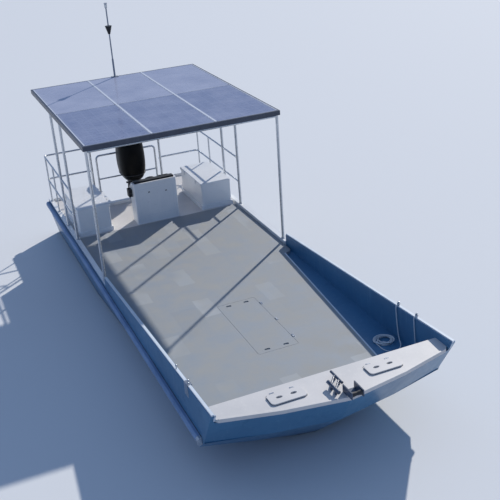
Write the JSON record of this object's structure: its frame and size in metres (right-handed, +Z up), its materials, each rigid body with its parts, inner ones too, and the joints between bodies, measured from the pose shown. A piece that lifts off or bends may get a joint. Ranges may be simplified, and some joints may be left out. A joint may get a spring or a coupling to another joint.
{
  "type": "aquaculture work boat",
  "caption": "Flat-decked work boat with a solar roof on posts, helm console, storage boxes, rails, foredeck hatches and an outboard engine in a stern well.",
  "frame": {"origin": "on the waterline amidships, on the centre line", "axes": "+X to port, +Y aft (the bow points along -Y), +Z up from the water"},
  "size_m": [3.0996, 8.7407, 4.607],
  "materials": {
    "hull_blue": "blue glass-fibre gelcoat",
    "deck_grey": "grey anti-slip coating",
    "deck_white": "white gelcoat",
    "box_white": "white glass-fibre",
    "dash_black": "black moulding",
    "rail_steel": "stainless tube",
    "rub_rubber": "weathered grey rubber",
    "trim_white": "worn light gunwale edge",
    "bitt_blue": "dark blue paint",
    "roller_rubber": "black roller",
    "roof_metal": "anodised frame",
    "panel_glass": "solar cells under glass",
    "mast_metal": "dull tube",
    "day_black": "black shape",
    "lamp_plastic": "lamp housing",
    "wheel_black": "black wheel",
    "engine_black": "black enamel",
    "bracket_metal": "dark enamel",
    "prop_steel": "cast stainless",
    "rope": "pale laid rope"
  },
  "bodies": {
    "boat": {"aft_deck": "deck_white", "bitt": "bitt_blue", "bow": "hull_blue", "bow_chock": "rail_steel", "bulwark_port": "hull_blue", "bulwark_starboard": "hull_blue", "clamp_bracket": "bracket_metal", "console": "box_white", "dash": "dash_black", "day_shape": "day_black", "engine_hoop": "rail_steel", "foredeck": "deck_white", "gunwale_knobs_port": "rail_steel", "gunwale_knobs_starboard": "rail_steel", "gunwale_trim_port": "trim_white", "gunwale_trim_starboard": "trim_white", "hull": "hull_blue", "mast": "mast_metal", "mast_lamp": "lamp_plastic", "panel_strips": "trim_white", "post_aft_port": "rail_steel", "post_aft_starboard": "rail_steel", "post_front_port": "rail_steel", "post_front_starboard": "rail_steel", "post_inner_port": "rail_steel", "post_inner_starboard": "rail_steel", "post_middle_port": "rail_steel", "post_middle_starboard": "rail_steel", "quarter_rail_port": "rail_steel", "quarter_rail_starboard": "rail_steel", "roof_frame": "roof_metal", "roof_tubes": "rail_steel", "rope_coil": "rope", "rope_long": "rope", "rope_short": "rope", "rub_rail_port": "rub_rubber", "rub_rail_starboard": "rub_rubber", "side_deck_port": "deck_white", "side_deck_starboard": "deck_white", "solar_panels": "panel_glass", "storage_box_port": "box_white", "storage_box_starboard": "box_white", "throttle": "dash_black", "well_coaming": "deck_white", "work_deck": "deck_grey"},
    "swivel": {"swivel_bracket": "bracket_metal"},
    "engine": {"cowl": "engine_black", "leg": "engine_black", "gearcase": "engine_black"},
    "propeller_body": {"propeller": "prop_steel"},
    "helm": {"helm_wheel": "wheel_black"},
    "roller": {"bow_roller": "roller_rubber"},
    "lid_port": {"box_lid_port": "box_white"},
    "lid_starboard": {"box_lid_starboard": "box_white"},
    "hatch_port": {"foredeck_hatch_port": "deck_white"},
    "hatch_starboard": {"foredeck_hatch_starboard": "deck_white"},
    "hold_cover": {"hold_lid": "deck_grey"}
  },
  "joints": [
    {"name": "motor_tilt", "type": "hinge", "parent": "boat", "child": "swivel", "pos_m": [0, 3.635, 0.75], "axis": [1, 0, 0], "range_deg": [0, 60]},
    {"name": "motor_steer", "type": "hinge", "parent": "swivel", "child": "engine", "pos_m": [0, 3.745, 0.75], "axis": [0, 0, 1], "range_deg": [-35, 35]},
    {"name": "propeller_spin", "type": "hinge", "parent": "engine", "child": "propeller_body", "pos_m": [0, 4.1003, -0.32], "axis": [0, 1, 0], "continuous": true},
    {"name": "helm_turn", "type": "hinge", "parent": "boat", "child": "helm", "pos_m": [0, 2.68, 1.17], "axis": [0, 1, 0], "range_deg": [-630, 630]},
    {"name": "bow_roller_spin", "type": "hinge", "parent": "boat", "child": "roller", "pos_m": [0.04, -4.31074, 1.095], "axis": [1, 0, 0], "continuous": true},
    {"name": "box_lid_port_hinge", "type": "hinge", "parent": "boat", "child": "lid_port", "pos_m": [1.365, 2.93, 1.0853], "axis": [0, 1, 0], "range_deg": [0, 85]},
    {"name": "box_lid_starboard_hinge", "type": "hinge", "parent": "boat", "child": "lid_starboard", "pos_m": [-1.365, 2.93, 1.0853], "axis": [0, -1, 0], "range_deg": [0, 85]},
    {"name": "hatch_port_hinge", "type": "hinge", "parent": "boat", "child": "hatch_port", "pos_m": [0.595, -3.82, 1.04], "axis": [-1, 0, 0], "range_deg": [0, 100]},
    {"name": "hatch_starboard_hinge", "type": "hinge", "parent": "boat", "child": "hatch_starboard", "pos_m": [-0.595, -3.82, 1.04], "axis": [-1, 0, 0], "range_deg": [0, 100]},
    {"name": "hold_lid_hinge", "type": "hinge", "parent": "boat", "child": "hold_cover", "pos_m": [0.275, -1.73, 0.65], "axis": [0, 1, 0], "range_deg": [0, 95]}
  ],
  "couplings": [
    {"joint": "motor_steer", "follows": "helm_turn", "ratio": 0.055556}
  ]
}
